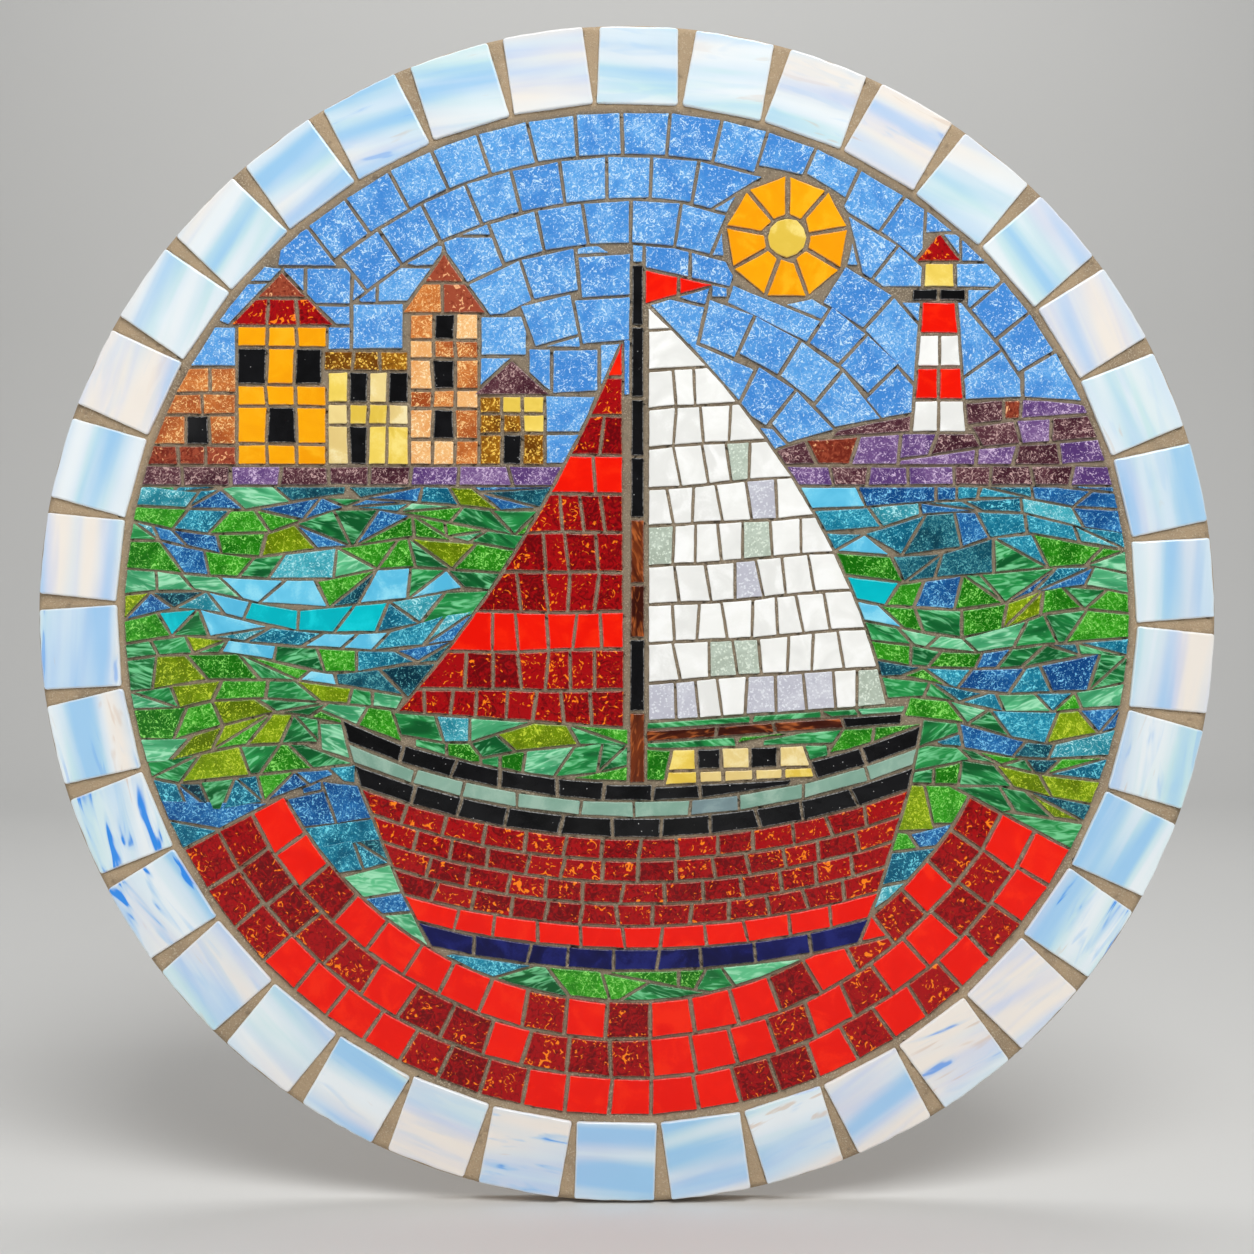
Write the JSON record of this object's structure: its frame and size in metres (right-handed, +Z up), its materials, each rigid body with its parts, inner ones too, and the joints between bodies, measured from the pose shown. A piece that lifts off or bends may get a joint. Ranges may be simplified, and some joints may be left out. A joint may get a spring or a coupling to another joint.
{
  "type": "mosaic panel",
  "caption": "Round flat wall panel faced with hand-cut glass tesserae in grout, inside a ring of square opal glass border tiles.",
  "frame": {"origin": "centre of the flat back face, where the panel meets the wall", "axes": "+Y into the wall, so the picture faces -Y; +Z up; +X to the viewer's right"},
  "size_m": [0.5738, 0.0163, 0.574],
  "materials": {
    "board": "matt sealed board, tan on the rim",
    "grout": "matt cement grout",
    "opal_glass": "gloss, opaque, streaked white and pale blue",
    "field_glass": "gloss, opaque, many colours, mottled or streaked"
  },
  "bodies": {
    "root": {"backing_board": "board", "grout_bed": "grout", "border_tile_01": "opal_glass", "border_tile_02": "opal_glass", "border_tile_03": "opal_glass", "border_tile_04": "opal_glass", "border_tile_05": "opal_glass", "border_tile_06": "opal_glass", "border_tile_07": "opal_glass", "border_tile_08": "opal_glass", "border_tile_09": "opal_glass", "border_tile_10": "opal_glass", "border_tile_11": "opal_glass", "border_tile_12": "opal_glass", "border_tile_13": "opal_glass", "border_tile_14": "opal_glass", "border_tile_15": "opal_glass", "border_tile_16": "opal_glass", "border_tile_17": "opal_glass", "border_tile_18": "opal_glass", "border_tile_19": "opal_glass", "border_tile_20": "opal_glass", "border_tile_21": "opal_glass", "border_tile_22": "opal_glass", "border_tile_23": "opal_glass", "border_tile_24": "opal_glass", "border_tile_25": "opal_glass", "border_tile_26": "opal_glass", "border_tile_27": "opal_glass", "border_tile_28": "opal_glass", "border_tile_29": "opal_glass", "border_tile_30": "opal_glass", "border_tile_31": "opal_glass", "border_tile_32": "opal_glass", "border_tile_33": "opal_glass", "border_tile_34": "opal_glass", "border_tile_35": "opal_glass", "border_tile_36": "opal_glass", "border_tile_37": "opal_glass", "border_tile_38": "opal_glass"}
  },
  "joints": []
}
